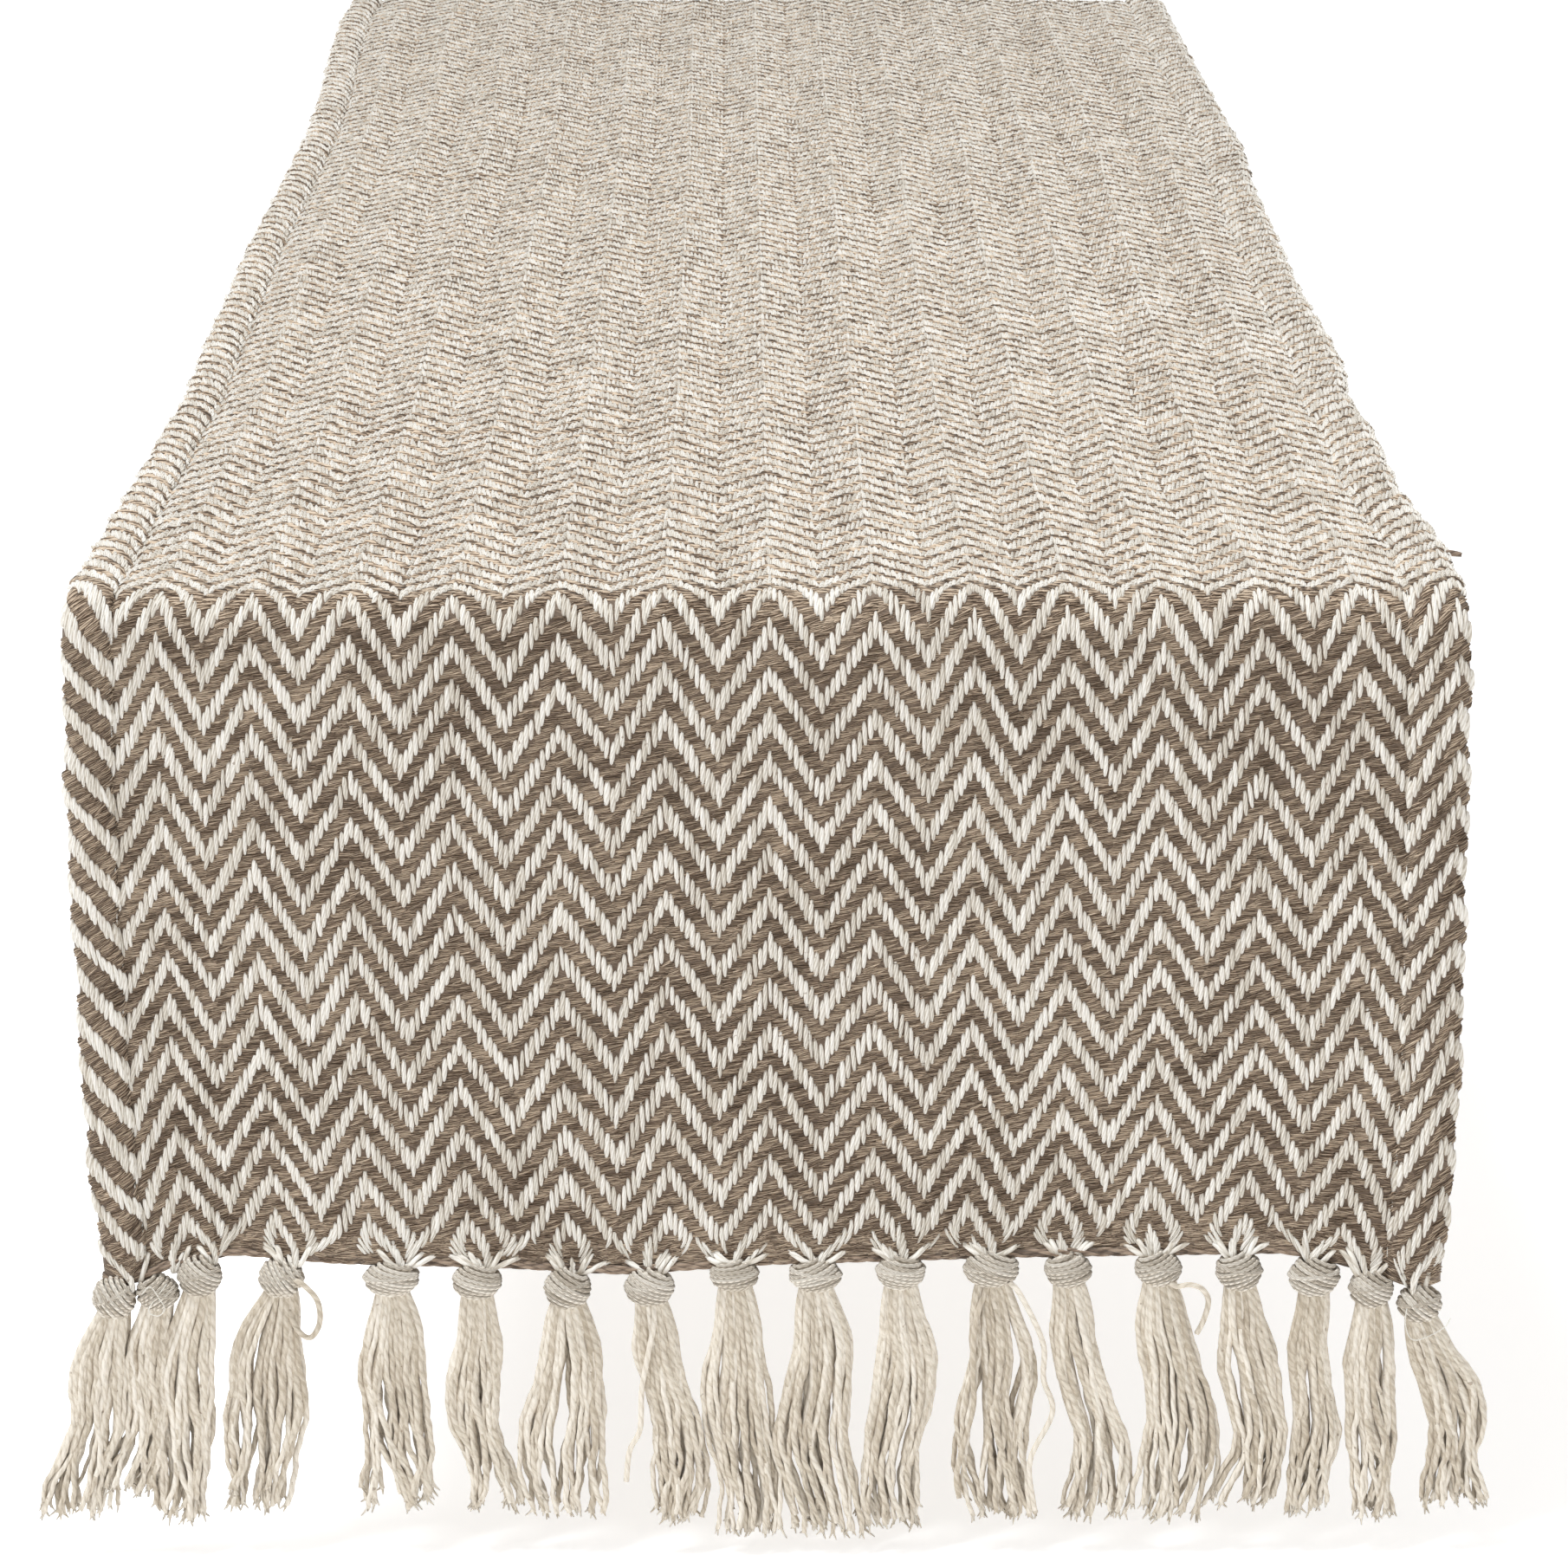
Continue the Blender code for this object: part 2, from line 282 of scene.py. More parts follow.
def new_piece(name, points, corners, sizes, uv, material):
    """A mesh object from whole arrays: points, the faces' corners in one run, each face's number of
    corners, and one map coordinate for each point."""
    mesh = bpy.data.meshes.new(name)
    mesh.vertices.add(len(points))
    mesh.vertices.foreach_set("co", np.ascontiguousarray(points, np.float32).ravel())
    mesh.loops.add(len(corners))
    mesh.loops.foreach_set("vertex_index", np.ascontiguousarray(corners, np.int32))
    mesh.polygons.add(len(sizes))
    starts = np.concatenate(([0], np.cumsum(sizes)[:-1]))
    mesh.polygons.foreach_set("loop_start", np.ascontiguousarray(starts, np.int32))
    mesh.update(calc_edges=True)
    layer = mesh.uv_layers.new(name="yarn_map")
    layer.data.foreach_set("uv", np.ascontiguousarray(uv[corners], np.float32).ravel())
    mesh.materials.append(material)
    mesh.shade_smooth()
    piece = bpy.data.objects.new(name, mesh)
    bpy.context.scene.collection.objects.link(piece)
    return piece


def point_value(piece, name, values):
    """Stores one number for each point of a piece, for its material to read."""
    attribute = piece.data.attributes.new(name, "FLOAT", "POINT")
    attribute.data.foreach_set("value", np.ascontiguousarray(values, np.float32))


def grid_faces(index, flip=False):
    """Quads between the rows and columns of an array of point numbers, facing up or, flipped, down."""
    quads = np.stack((index[:-1, :-1], index[:-1, 1:], index[1:, 1:], index[1:, :-1]), axis=-1)
    return (quads[..., ::-1] if flip else quads).reshape(-1, 4)


def cloth_rows(start, stop):
    """Rows along the cloth: 12 mm apart on the table, closer over the bend and down the drop."""
    flat = np.linspace(0.0, flat_end, 54)[:-1]
    bend = flat_end + bend_length * np.linspace(0.0, 1.0, 13)
    drop = flat_end + bend_length + drop_reach * np.linspace(0.0, 1.0, 49)[1:]
    rows = np.concatenate((flat, bend, drop))
    rows = np.concatenate((-rows[::-1], rows[1:]))
    return rows[(rows >= start - 1e-9) & (rows <= stop + 1e-9)]


def ground_sheet(name, rows, material):
    """One closed sheet: the weft surface above, a flat face below, joined along the folds and ends."""
    beside_seam = 0.0045 * np.linspace(1.0, 0.0, 6)
    on_hem = np.linspace(0.0, 1.0, 14)[1:]
    left = np.concatenate((left_seam - left_hem[3] * on_hem[::-1], left_seam + beside_seam[::-1]))
    right = np.concatenate((right_seam - beside_seam, right_seam + right_hem[3] * on_hem))
    u = np.concatenate((left, np.linspace(left[-1], right[0], 56)[1:-1], right))
    across, along = np.meshgrid(u, rows)
    x, height, _, _ = section(across)
    upper = drape(x, along, height)
    lower = drape(x * (1 - 0.0012 / half_width), along, np.full_like(across, under_level))
    top = np.arange(across.size).reshape(across.shape)
    base = top + across.size
    rims = [
        np.stack((base[:, 0], top[:, 0]), axis=1),
        np.stack((top[:, -1], base[:, -1]), axis=1),
        np.stack((base[0], top[0]), axis=0),
        np.stack((top[-1], base[-1]), axis=0),
    ]
    quads = np.concatenate([grid_faces(top), grid_faces(base, True)] + [grid_faces(rim) for rim in rims])
    uv = np.stack((across / end_pitch, along / pick_pitch), axis=-1).reshape(-1, 2)
    points = np.concatenate((upper.reshape(-1, 3), lower.reshape(-1, 3)))
    piece = new_piece(name, points, quads.ravel(), np.full(len(quads), 4), np.tile(uv, (2, 1)), material)
    point_value(piece, "inside", np.repeat((0.0, 1.0), across.size))
    return piece


def soft_material(name, roughness, sheen):
    """A new matt material with a soft sheen, and two functions: one adds a node and links its inputs, the
    other adds a maths node and gives its result."""
    material = bpy.data.materials.new(name)
    material.use_nodes = True
    tree = material.node_tree
    shader = tree.nodes["Principled BSDF"]
    shader.inputs["Roughness"].default_value = roughness
    shader.inputs["Specular IOR Level"].default_value = 0.25
    shader.inputs["Sheen Weight"].default_value = sheen
    shader.inputs["Sheen Roughness"].default_value = 0.6
    shader.inputs["Sheen Tint"].default_value = (1.0, 0.94, 0.86, 1.0)

    def add(kind, settings, *inputs):
        node = tree.nodes.new(kind)
        for key, value in settings.items():
            setattr(node, key, value)
        for socket, value in zip(node.inputs, inputs):
            if isinstance(value, bpy.types.NodeSocket):
                tree.links.new(value, socket)
            elif value is not None:
                socket.default_value = value
        return node

    def maths(operation, *inputs):
        return add("ShaderNodeMath", {"operation": operation}, *inputs).outputs[0]

    return material, tree, shader, add, maths


def bumped(tree, shader, add, height, distance):
    """Turns a height pattern into a bump of so many metres on a shader."""
    bump = add("ShaderNodeBump", {})
    bump.inputs["Strength"].default_value = 0.9
    bump.inputs["Distance"].default_value = distance
    tree.links.new(height, bump.inputs["Height"])
    tree.links.new(bump.outputs[0], shader.inputs["Normal"])


def ground_material():
    """The weft's taupe between the yarns, taken darker than the strands as painted shade in the deep gaps. On
    the under side, the reverse of the twill: cream floats wherever the picks plus the chevron's own step fall
    in one half of the repeat, each float darkened towards its sides as painted shade between the ends."""
    material, tree, shader, add, maths = soft_material("taupe_weft_ground", 0.95, 0.3)
    place = add("ShaderNodeUVMap", {"uv_map": "yarn_map"}).outputs[0]
    split = add("ShaderNodeSeparateXYZ", {}, place)
    across, along = split.outputs[0], split.outputs[1]
    slant = maths("ADD", maths("MULTIPLY", along, 5.0), maths("MULTIPLY", across, 1.2))
    strand = add("ShaderNodeCombineXYZ", {}, maths("MULTIPLY", across, 0.5), slant).outputs[0]
    fibre = add("ShaderNodeTexNoise", {}, strand, None, 1.0, 3.0, 0.65).outputs[0]
    # Painted shade: the ground's ramp runs darker than the weft strands' own, for the deep gaps between them.
    ramp = add("ShaderNodeValToRGB", {}, fibre)
    stops = ramp.color_ramp.elements
    stops[0].position, stops[0].color = 0.30, (0.075, 0.05, 0.034, 1)
    stops[1].position, stops[1].color = 0.75, (0.27, 0.195, 0.14, 1)
    step = maths("PINGPONG", maths("ADD", maths("FLOOR", across), 0.5), ends_per_chevron / 2)
    phase = maths("FRACT", maths("DIVIDE", maths("ADD", along, step), 6.0))
    in_float = maths("LESS_THAN", maths("ABSOLUTE", maths("SUBTRACT", phase, 0.5)), 0.25)
    inside = add("ShaderNodeAttribute", {"attribute_name": "inside"}).outputs["Fac"]
    in_float = maths("MULTIPLY", in_float, maths("GREATER_THAN", inside, 0.5))
    # Painted shade: each cream float on the under side darkens towards its sides, up to 0.4 of the way to
    # dark brown.
    off_centre = maths("MULTIPLY", maths("ABSOLUTE", maths("SUBTRACT", maths("FRACT", across), 0.5)), 2.0)
    cream = add("ShaderNodeMix", {"data_type": "RGBA"})
    tree.links.new(maths("MULTIPLY", maths("POWER", off_centre, 3.0), 0.4), cream.inputs[0])
    cream.inputs[6].default_value = (0.74, 0.67, 0.57, 1)
    cream.inputs[7].default_value = (0.30, 0.24, 0.18, 1)
    both = add("ShaderNodeMix", {"data_type": "RGBA"})
    tree.links.new(in_float, both.inputs[0])
    tree.links.new(ramp.outputs[0], both.inputs[6])
    tree.links.new(cream.outputs[2], both.inputs[7])
    tree.links.new(both.outputs[2], shader.inputs["Base Color"])
    round_yarn = maths("MULTIPLY", in_float, maths("SUBTRACT", 1.4, maths("MULTIPLY", off_centre, 1.2)))
    bumped(tree, shader, add, maths("ADD", fibre, round_yarn), 0.0004)
    return material


def bends_with(piece):
    """Bakes a piece's placing into its own points."""
    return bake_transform(piece)


taupe_ground_with_painted_shade = ground_material()
ground = {
    "front": ground_sheet("front_cloth_ground", cloth_rows(-cloth_end, 0.0), taupe_ground_with_painted_shade),
    "back": ground_sheet("back_cloth_ground", cloth_rows(0.0, cloth_end), taupe_ground_with_painted_shade),
}
for end_name, piece in ground.items():
    bends_with(piece)
    own_parts = ("bend_cloth", "drop_cloth", "drop_left_hem", "drop_right_hem")
    replaced = [f"{end_name}_{part}" for part in own_parts]
    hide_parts(*replaced, "top_cloth", "top_left_hem", "top_right_hem")

# ------------------------------------------------------------
# Warp floats: the cream two-ply cotton warp, which passes over three picks and under three. Each float
# stands on the weft as a plump ridge and dives into it at both tips; its neighbour starts one pick
# later, up for ten ends and down for ten. At the lower edge they close in on the nearest knot.
# ------------------------------------------------------------
drop_float, top_float = 0.0073, 0.0088
float_width = 0.00150
drop_rise, top_rise = 0.00125, 0.00138
drop_lean, top_lean = 0.005, 0.11
gather_height = 0.0095
repeat_length = 6 * pick_pitch
left_hem_ends, right_hem_ends = int(left_hem[3] / end_pitch), int(right_hem[3] / end_pitch)
left_hem_slope = 0.72
# Two thin places in the cloth, where the floats are short and low: (v, from u, to u).
thin_places = ((-0.420, -0.155, -0.028), (0.103, -0.155, -0.085))
thin_reach = 0.0040
# How far the pattern has slipped towards the near end, across the cloth, in millimetres.
slip_places = (-0.190, -0.145, -0.060, -0.033, 0.0, 0.024, 0.050, 0.076, 0.102, 0.130, 0.190)
slips = (7.9, 9.0, 8.0, 4.3, 4.0, 3.6, 5.0, 6.4, 4.8, 2.9, 2.6)


def knot_places(end_name):
    """Each tassel's knot along its end of the cloth, in the middle of its solid's highest points."""
    places = []
    for index in range(18):
        points = np.array([v.co for v in frame["nodes"][f"{end_name}_tassel_{index + 1:02d}"].data.vertices])
        upper = points[points[:, 2] > points[:, 2].max() - 0.001]
        places.append((upper[:, 0].min() + upper[:, 0].max()) / 2)
    return np.array(places)


knots = {"front": knot_places("front"), "back": knot_places("back")}


def to_knot(x, v):
    """How far each float lies from the nearest knot of its own end of the cloth, to the right positive."""
    aside = np.zeros(np.shape(x))
    for end, places in ((-1, np.sort(knots["front"])), (1, np.sort(knots["back"]))):
        nearest = places[np.searchsorted((places[1:] + places[:-1]) / 2, x)]
        aside = np.where(v * end > 0, x - nearest, aside)
    return aside


def gathered(aside, v):
    """The sideways draw of a warp end towards its knot: up to 7 mm, easing in over the last of the drop."""
    pull = smooth((np.abs(v) - cloth_end + gather_height) / (gather_height + 0.003))
    return -0.007 * np.tanh(aside / 0.007) * pull


def warp_grid():
    """Every float's middle over the whole cloth. Ends lie evenly inside each chevron; along the cloth a
    float comes each repeat, less a pick for each step of the chevron, with slow waves and small slips. Also
    gives 1 where the cream line climbs to the right and -1 where it falls."""
    rng = np.random.default_rng(7)
    end = np.arange(-left_hem_ends, field_ends + right_hem_ends)
    u = np.interp((end + 0.5) / ends_per_chevron, np.arange(len(valleys)), valleys)
    u = np.where(end < 0, left_seam + (end + 0.5) * end_pitch, u)
    u = np.where(end >= field_ends, right_seam + (end - field_ends + 0.5) * end_pitch, u)
    step = np.abs(np.mod(end, ends_per_chevron) - ends_per_chevron / 2)
    step = np.where(end < 0, ends_per_chevron / 2 + left_hem_slope * end, step)
    v = np.arange(-80, 81)[None, :] * repeat_length - step[:, None] * pick_pitch
    slope_shape = v.shape
    u = np.broadcast_to(u[:, None], v.shape).ravel()
    v = v.ravel()
    skew = np.interp(v, (-cloth_end, -flat_end, -flat_end / 2, cloth_end), (0.005, 0.0135, 0.004, 0.0))
    v = v + np.clip(u / 0.175, 0.0, None) ** 1.4 * skew - slow_line(slip_places, slips, u) / 1000
    v = v + 0.0004 * np.sin(u * 61 + v * 23) + 0.0004 * np.sin(u * 140 - v * 57)
    u = u + rng.normal(0.0, 0.00009, len(u))
    v = v + rng.normal(0.0, 0.00022, len(v))
    keep = np.abs(v) < cloth_end + 0.0035
    rising = np.sign(ends_per_chevron / 2 - np.mod(end + 0.5, ends_per_chevron))
    rising = np.broadcast_to(np.where(end < 0, -1.0, rising)[:, None], slope_shape).ravel()
    return u[keep], v[keep], rising[keep]


def yarn_ridges(name, u, v, angle, size, stations, across, seed, material, gather=None):
    """One piece of many short yarns lying on the weft surface, each at its own middle and angle; gather is
    how far each one is from its knot.

    Along a yarn (t from -1 to 1) the width goes as (1 - |t|^3)^0.5 and the height as (1 - t^4)^0.5; across
    it (a from -1 to 1) the height is an arch whose sides stand in the cloth. Both tips are sunk."""
    rng = np.random.default_rng(seed)
    count = len(u)
    length, width, rise = (np.broadcast_to(part, count)[:, None] for part in size)
    ring_t, ring_a = np.meshgrid(stations, across, indexing="ij")
    t = np.concatenate(([-1.0], ring_t.ravel(), [1.0]))
    a = np.concatenate(([0.0], ring_a.ravel(), [0.0]))
    run = t * length / 2
    swing = a * np.sqrt(1 - np.abs(t) ** 3) * width / 2
    height = np.sqrt(1 - t**4) * (1.12 * np.sqrt(np.clip(1 - (0.98 * a) ** 2, 0, 1)) - 0.12) - 0.1
    place_u = u[:, None] + run * np.cos(angle)[:, None] - swing * np.sin(angle)[:, None]
    place_v = v[:, None] + run * np.sin(angle)[:, None] + swing * np.cos(angle)[:, None]
    x, level, normal_x, normal_h = section(place_u)
    x, level = x + normal_x * height * rise, level + normal_h * height * rise
    if gather is not None:
        level = level + 0.0014 * smooth((np.abs(place_v) - cloth_end + 0.004) / 0.005)
        x = x + gathered(gather[:, None], place_v)
    points = drape(x, place_v, level).reshape(-1, 3)
    rings = 1 + np.arange(ring_t.size).reshape(ring_t.shape)
    sides = len(across) - 1
    quads = grid_faces(rings, True)
    near = np.stack((np.zeros(sides, int), rings[0, :-1], rings[0, 1:]), axis=1)
    far = np.stack((rings[-1, 1:], rings[-1, :-1], np.full(sides, len(t) - 1)), axis=1)
    one = np.concatenate((quads.ravel(), near.ravel(), far.ravel()))
    corners = (np.arange(count)[:, None] * len(t) + one).ravel()
    sizes = np.tile(np.concatenate((np.full(len(quads), 4), np.full(2 * sides, 3))), count)
    along = (t + 1) * length * 500 + rng.uniform(0.0, 40.0, (count, 1))
    uv = np.stack((np.broadcast_to((a + 1) / 2, along.shape), along), axis=-1)
    piece = new_piece(name, points, corners, sizes, uv.reshape(-1, 2), material)
    point_value(piece, "tint", np.repeat(rng.uniform(0.0, 1.0, count), len(t)))
    return piece


def yarn_material(name, dark, middle, light, twist, bump_height, ply_shade=0.30, sheen=0.35):
    """Spun cotton: colour varies from yarn to yarn and along the fibres, which wind round the yarn as two
    slanted plies; the hollows between the plies are darker as painted shade, and a few flecks of seed are
    left in it."""
    material, tree, shader, add, maths = soft_material(name, 0.92, sheen)
    place = add("ShaderNodeUVMap", {"uv_map": "yarn_map"}).outputs[0]
    split = add("ShaderNodeSeparateXYZ", {}, place)
    around, along = split.outputs[0], split.outputs[1]
    solid = add("ShaderNodeTexCoord", {}).outputs["Object"]
    fuzz = add("ShaderNodeTexNoise", {}, solid, None, 1600.0, 3.0, 0.6).outputs[0]
    winding = maths("ADD", maths("MULTIPLY", around, 2.0), maths("MULTIPLY", along, twist))
    winding = maths("ADD", winding, maths("MULTIPLY", fuzz, 0.3))
    ply = maths("ABSOLUTE", maths("SINE", maths("MULTIPLY", winding, math.pi)))
    strand = add("ShaderNodeCombineXYZ", {}, maths("MULTIPLY", winding, 3.0), maths("MULTIPLY", along, 0.5))
    fibre = add("ShaderNodeTexNoise", {}, strand.outputs[0], None, 1.6, 3.0, 0.6).outputs[0]
    tint = add("ShaderNodeAttribute", {"attribute_name": "tint"}).outputs["Fac"]
    patch = add("ShaderNodeTexNoise", {}, solid, None, 30.0, 3.0, 0.6).outputs[0]
    # Painted shade: the colour darkens in the hollows between the plies, by ply_shade.
    shade = maths("MULTIPLY", maths("SUBTRACT", ply, 0.64), ply_shade)
    shade = maths("ADD", maths("ADD", shade, 0.19), maths("MULTIPLY", fibre, 0.62))
    shade = maths("ADD", shade, maths("MULTIPLY", maths("SUBTRACT", tint, 0.5), 0.34))
    shade = maths("ADD", shade, maths("MULTIPLY", maths("SUBTRACT", patch, 0.5), 0.35))
    ramp = add("ShaderNodeValToRGB", {}, shade)
    stops = ramp.color_ramp.elements
    stops[0].position, stops[0].color = 0.28, (*dark, 1)
    stops[1].position, stops[1].color = 0.74, (*light, 1)
    stops.new(0.50).color = (*middle, 1)
    speck = add("ShaderNodeTexNoise", {}, solid, None, 520.0, 1.0, 0.5).outputs[0]
    fleck = add("ShaderNodeMix", {"data_type": "RGBA"})
    tree.links.new(maths("MULTIPLY", maths("GREATER_THAN", speck, 0.765), 0.6), fleck.inputs[0])
    tree.links.new(ramp.outputs[0], fleck.inputs[6])
    fleck.inputs[7].default_value = (0.24, 0.16, 0.10, 1)
    tree.links.new(fleck.outputs[2], shader.inputs["Base Color"])
    height = maths("ADD", ply, maths("MULTIPLY", fibre, 0.6))
    bumped(tree, shader, add, maths("ADD", height, maths("MULTIPLY", fuzz, 0.5)), bump_height)
    return material


warp_cotton = yarn_material(
    "cream_warp_cotton", (0.53, 0.47, 0.385), (0.755, 0.705, 0.625), (0.86, 0.82, 0.755), 0.35, 0.00022
)
float_u, float_v, float_climb = warp_grid()
blend_reach = flat_end - 0.012
rng = np.random.default_rng(8)
fullness = 1 + 0.05 * np.sin(float_u * 90 + float_v * 41) + 0.04 * np.sin(float_u * 37 - float_v * 83)
thin = np.zeros(len(float_u))
for place, begin, stop in thin_places:
    window = smooth((float_u - begin) / 0.02) * smooth((stop - float_u) / 0.02)
    thin = np.maximum(thin, window * np.exp(-(((float_v - place) / thin_reach) ** 2)))
on_drop = np.abs(float_v) > flat_end
warp_length = np.where(on_drop, drop_float, top_float) * fullness * (1 - 0.45 * thin)
warp_length = warp_length * rng.normal(1.0, 0.08, len(float_u))
warp_width = float_width * np.where(on_drop, 1.0, 1.06) * rng.normal(1.0, 0.09, len(float_u))
warp_rise = np.where(on_drop, drop_rise, top_rise)
warp_rise = warp_rise * (1 - 0.55 * thin) * rng.normal(1.0, 0.12, len(float_u))
far_side = np.sign(float_v)
knot_aside = to_knot(section(float_u)[0], float_v)
lower_stop = cloth_end + 0.0026 - 0.0052 * smooth((np.abs(knot_aside) - 0.0065) / 0.003)
outer = np.minimum(np.abs(float_v) + warp_length / 2, lower_stop)
inner = np.abs(float_v) - warp_length / 2
on_left = smooth((left_seam - float_u + 0.003) / 0.004)
lean = np.where(on_drop, drop_lean, top_lean)
warp_angle = np.pi / 2 - lean * float_climb + 0.12 * on_left + rng.normal(0.0, 0.055, len(float_u))


def warp_part(name, chosen, stations, across, seed):
    """A piece of those floats that are chosen and long enough to show."""
    chosen = chosen & (outer - inner > 0.0022)
    middle = far_side[chosen] * (outer + inner)[chosen] / 2
    size = ((outer - inner)[chosen], warp_width[chosen], warp_rise[chosen])
    piece = yarn_ridges(
        name, float_u[chosen], middle, warp_angle[chosen], size, stations, across, seed, warp_cotton,
        knot_aside[chosen],
    )
    return piece


drop_stations, drop_across = (-0.84, -0.40, 0.40, 0.84), (-1.0, -0.62, 0.0, 0.62, 1.0)
top_stations, top_across = (-0.74, 0.74), (-1.0, -0.60, 0.0, 0.60, 1.0)
for end_name, sign in (("front", -1), ("back", 1)):
    chosen = float_v * sign > blend_reach
    bends_with(warp_part(f"{end_name}_drop_warp", chosen, drop_stations, drop_across, 11 + sign))
band_edges = np.linspace(-blend_reach, blend_reach, 5)
for band, (near, far) in enumerate(zip(band_edges, band_edges[1:])):
    chosen = (float_v >= near) & (float_v < far) & (np.abs(float_v) <= blend_reach)
    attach(warp_part(f"top_warp_{band + 1}", chosen, top_stations, top_across, 20 + band), "top")

# ------------------------------------------------------------
# Weft floats: between the cream bars the taupe weft passes over three ends. The yarn is several soft
# strands laid side by side, which slant up to the right, more steeply where a hem has pulled the cloth
# askew. On the drops each strand stands by itself; on the top each weft float is one ridge.
# ------------------------------------------------------------
weft_length = 0.0056
weft_rise = 0.00080
strand_pitch = pick_pitch / 3
strand_width = 0.00082
field_slant = math.radians(16)
hem_slant = math.radians(34)
weft_cotton = yarn_material(
    "taupe_weft_cotton", (0.068, 0.042, 0.025), (0.310, 0.216, 0.146), (0.70, 0.555, 0.41), 0.25, 0.00028,
    0.50, 0.12
)
weft_u, weft_v = float_u, float_v + repeat_length / 2
weft_v = weft_v + rng.normal(0.0, 0.00012, len(weft_v))
inside_edges = np.abs(weft_v) < cloth_end - 0.0012
weft_u, weft_v = weft_u[inside_edges], weft_v[inside_edges]
towards_hem = smooth((np.maximum(left_seam - weft_u, weft_u - right_seam) + 0.004) / 0.006)


def weft_part(name, chosen, strands, width, stations, seed):
    """A piece of the chosen weft floats, each of several strands spread over one pick."""
    rng = np.random.default_rng(seed)
    u = np.tile(weft_u[chosen], strands)
    offset = np.repeat((np.arange(strands) - (strands - 1) / 2) * strand_pitch, int(chosen.sum()))
    v = np.tile(weft_v[chosen], strands) + offset + rng.normal(0.0, 0.00008, len(u))
    slant = np.tile(field_slant + (hem_slant - field_slant) * towards_hem[chosen], strands)
    slant = slant + rng.normal(0.0, 0.10, len(u))
    length = weft_length * rng.normal(1.0, 0.08, len(u))
    rise = weft_rise * rng.normal(1.0, 0.22, len(u))
    size = (length, width * rng.normal(1.0, 0.10, len(u)), rise)
    piece = yarn_ridges(name, u, v, slant, size, stations, (-1.0, 0.0, 1.0), seed, weft_cotton)
    return piece


def edge_weft(end_name, sign):
    """The last picks before the heading, packed close: rows of short strands, each row a little offset."""
    rng = np.random.default_rng(36 + sign)
    rows = cloth_end - 0.0004 - strand_pitch * np.arange(11)
    places = np.arange(left_seam - 0.010, right_seam + 0.015, 0.0046)
    u, v = (part.ravel() for part in np.meshgrid(places, rows, indexing="ij"))
    u = u + rng.uniform(-0.0020, 0.0020, len(u))
    v = sign * (v + rng.normal(0.0, 0.00012, len(v)))
    size = (0.0062 * rng.normal(1.0, 0.15, len(u)), strand_width, weft_rise * 0.75)
    slant = rng.normal(0.07, 0.10, len(u))
    return yarn_ridges(
        f"{end_name}_edge_weft", u, v, slant, size, (-0.62, 0.0, 0.62), (-1.0, 0.0, 1.0), 37, weft_cotton
    )


for end_name, sign in (("front", -1), ("back", 1)):
    piece = edge_weft(end_name, sign)
    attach(piece, f"{end_name}_drop")
    chosen = weft_v * sign > blend_reach
    piece = weft_part(f"{end_name}_drop_weft", chosen, 3, strand_width, (-0.62, 0.0, 0.62), 31 + sign)
    bends_with(piece)
band_edges = np.linspace(-blend_reach, blend_reach, 3)
for band, (near, far) in enumerate(zip(band_edges, band_edges[1:])):
    chosen = (weft_v >= near) & (weft_v < far) & (np.abs(weft_v) <= blend_reach)
    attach(weft_part(f"top_weft_{band + 1}", chosen, 1, pick_pitch * 1.1, (-0.5, 0.5), 40 + band), "top")

# ------------------------------------------------------------
# Seam stitches: a fine cream sewing thread, run through the valley beside each hem along the whole cloth.
# Each stitch shows as a low arch whose two ends dip into the weave.
# ------------------------------------------------------------
stitch_length = 0.0042
stitch_pitch = 0.0066
thread_radius = 0.00017


def tubes(paths, radius, sides, closed=False, upright=(0.0, 1.0, 0.0), seed=0):
    """Yarns as tubes: rings of points round each path's own direction, joined in turn.

    paths is (yarns, points, 3) and radius spreads over (yarns, points). Ends are capped, or a closed path
    is joined to its start. Returns points, corners, sizes, map coordinates and one tint per point."""
    paths = np.asarray(paths, float)
    yarns, count, _ = paths.shape
    radius = np.broadcast_to(radius, (yarns, count))
    if closed:
        ahead = np.roll(paths, -1, axis=1) - np.roll(paths, 1, axis=1)
    else:
        ahead = np.gradient(paths, axis=1)
    ahead = ahead / np.maximum(np.linalg.norm(ahead, axis=-1, keepdims=True), 1e-12)
    side = np.cross(ahead, np.array(upright))
    side = side / np.maximum(np.linalg.norm(side, axis=-1, keepdims=True), 1e-9)
    other = np.cross(ahead, side)
    angle = 2 * np.pi * np.arange(sides) / sides
    ring = side[:, :, None] * np.cos(angle)[:, None] + other[:, :, None] * np.sin(angle)[:, None]
    points = paths[:, :, None] + ring * radius[:, :, None, None]
    number = np.arange(yarns * count * sides).reshape(yarns, count, sides)
    after = np.roll(number, -1, axis=2)
    if closed:
        lower, upper, lower_next, upper_next = number, np.roll(number, -1, 1), after, np.roll(after, -1, 1)
    else:
        lower, upper, lower_next, upper_next = number[:, :-1], number[:, 1:], after[:, :-1], after[:, 1:]
    quads = np.stack((lower, lower_next, upper_next, upper), axis=-1).reshape(-1, 4)
    corners, sizes = [quads.ravel()], [np.full(len(quads), 4)]
    if not closed:
        caps = np.concatenate((number[:, 0, ::-1], number[:, -1]))
        corners.append(caps.ravel())
        sizes.append(np.full(len(caps), sides))
    rng = np.random.default_rng(seed)
    run = np.linalg.norm(np.diff(paths, axis=1, prepend=paths[:, :1]), axis=-1).cumsum(axis=1)
    run = run * 500 + rng.uniform(0, 40, (yarns, 1))
    around = np.broadcast_to(angle / (2 * np.pi), points.shape[:3])
    uv = np.stack((around, np.broadcast_to(run[:, :, None], points.shape[:3])), axis=-1)
    tint = np.repeat(rng.uniform(0, 1, yarns), count * sides)
    return points.reshape(-1, 3), np.concatenate(corners), np.concatenate(sizes), uv.reshape(-1, 2), tint


